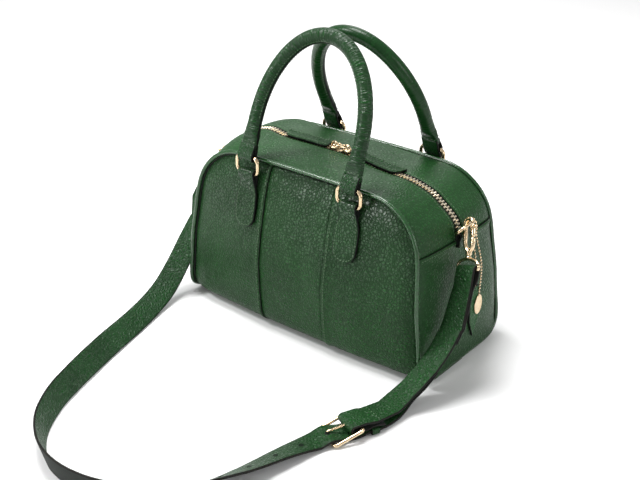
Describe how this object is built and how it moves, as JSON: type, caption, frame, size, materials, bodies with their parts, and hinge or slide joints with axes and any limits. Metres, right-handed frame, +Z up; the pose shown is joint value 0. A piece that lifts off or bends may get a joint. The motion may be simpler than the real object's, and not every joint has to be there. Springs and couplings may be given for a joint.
{
  "type": "shoulder bag",
  "caption": "Zip-top leather bowling bag with rolled handles on oval rings, piped edges, a buckled shoulder strap on snap hooks and a hanging tag.",
  "frame": {"origin": "middle of the base, on the surface that the bag stands on", "axes": "+Z up, -Y towards the front face, +X towards the end with the hang tag"},
  "size_m": [0.3607, 0.4476, 0.3054],
  "materials": {
    "bag_leather": "pebbled grain, satin",
    "strap_leather": "pebbled grain, satin",
    "gold_metal": "polished pale gold plating",
    "zip_metal": "polished gold teeth on dark tape"
  },
  "bodies": {
    "bag_body": {"left_body_panel": "bag_leather", "centre_body_panel": "bag_leather", "right_body_panel": "bag_leather", "front_piping": "bag_leather", "back_piping": "bag_leather", "left_end_panel": "bag_leather", "right_end_panel": "bag_leather", "front_zip_strip": "bag_leather", "back_zip_strip": "bag_leather", "zip_chain": "zip_metal", "left_zip_flap": "bag_leather", "right_zip_flap": "bag_leather", "left_zip_slider": "gold_metal", "right_zip_slider": "gold_metal", "front_left_handle_tab": "bag_leather", "front_left_handle_ring": "gold_metal", "front_right_handle_tab": "bag_leather", "front_right_handle_ring": "gold_metal", "back_left_handle_tab": "bag_leather", "back_left_handle_ring": "gold_metal", "back_right_handle_tab": "bag_leather", "back_right_handle_ring": "gold_metal", "right_end_tab": "bag_leather", "left_end_tab": "bag_leather", "right_d_ring": "gold_metal", "left_d_ring": "gold_metal", "right_hook": "gold_metal", "left_hook": "gold_metal", "right_swivel_eye": "gold_metal", "left_swivel_eye": "gold_metal", "short_strap": "strap_leather", "long_strap": "strap_leather", "buckle_frame": "gold_metal", "buckle_prong": "gold_metal", "strap_keeper": "strap_leather", "tag_fob": "bag_leather", "tag_charm": "gold_metal", "tag_chain": "gold_metal"},
    "front_handle_body": {"front_handle": "bag_leather"},
    "back_handle_body": {"back_handle": "bag_leather"},
    "right_gate_body": {"right_hook_gate": "gold_metal"},
    "left_gate_body": {"left_hook_gate": "gold_metal"},
    "left_pull_body": {"left_zip_pull": "gold_metal"},
    "right_pull_body": {"right_zip_pull": "gold_metal"}
  },
  "joints": [
    {"name": "front_handle_hinge", "type": "hinge", "parent": "bag_body", "child": "front_handle_body", "pos_m": [0, -0.06783, 0.1783], "axis": [1, 0, 0], "range_deg": [0, 120]},
    {"name": "back_handle_hinge", "type": "hinge", "parent": "bag_body", "child": "back_handle_body", "pos_m": [0, 0.06783, 0.1783], "axis": [-1, 0, 0], "range_deg": [0, 120]},
    {"name": "right_gate_hinge", "type": "hinge", "parent": "bag_body", "child": "right_gate_body", "pos_m": [0.15865, -0.0073, 0.13882], "axis": [-0.3598, -0.8967, 0.2578], "range_deg": [0, 20], "stiffness_Nm_per_rad": 0.02, "springref_deg": -8.59},
    {"name": "left_gate_hinge", "type": "hinge", "parent": "bag_body", "child": "left_gate_body", "pos_m": [-0.1625, -0.0073, 0.133], "axis": [-0.3598, 0.8967, -0.2578], "range_deg": [0, 20], "stiffness_Nm_per_rad": 0.02, "springref_deg": -8.59},
    {"name": "left_pull_hinge", "type": "hinge", "parent": "bag_body", "child": "left_pull_body", "pos_m": [-0.0076, 0, 0.18499], "axis": [0, -1, 0], "range_deg": [0, 150]},
    {"name": "right_pull_hinge", "type": "hinge", "parent": "bag_body", "child": "right_pull_body", "pos_m": [0.0076, 0, 0.18467], "axis": [0, 1, 0], "range_deg": [0, 150]}
  ]
}
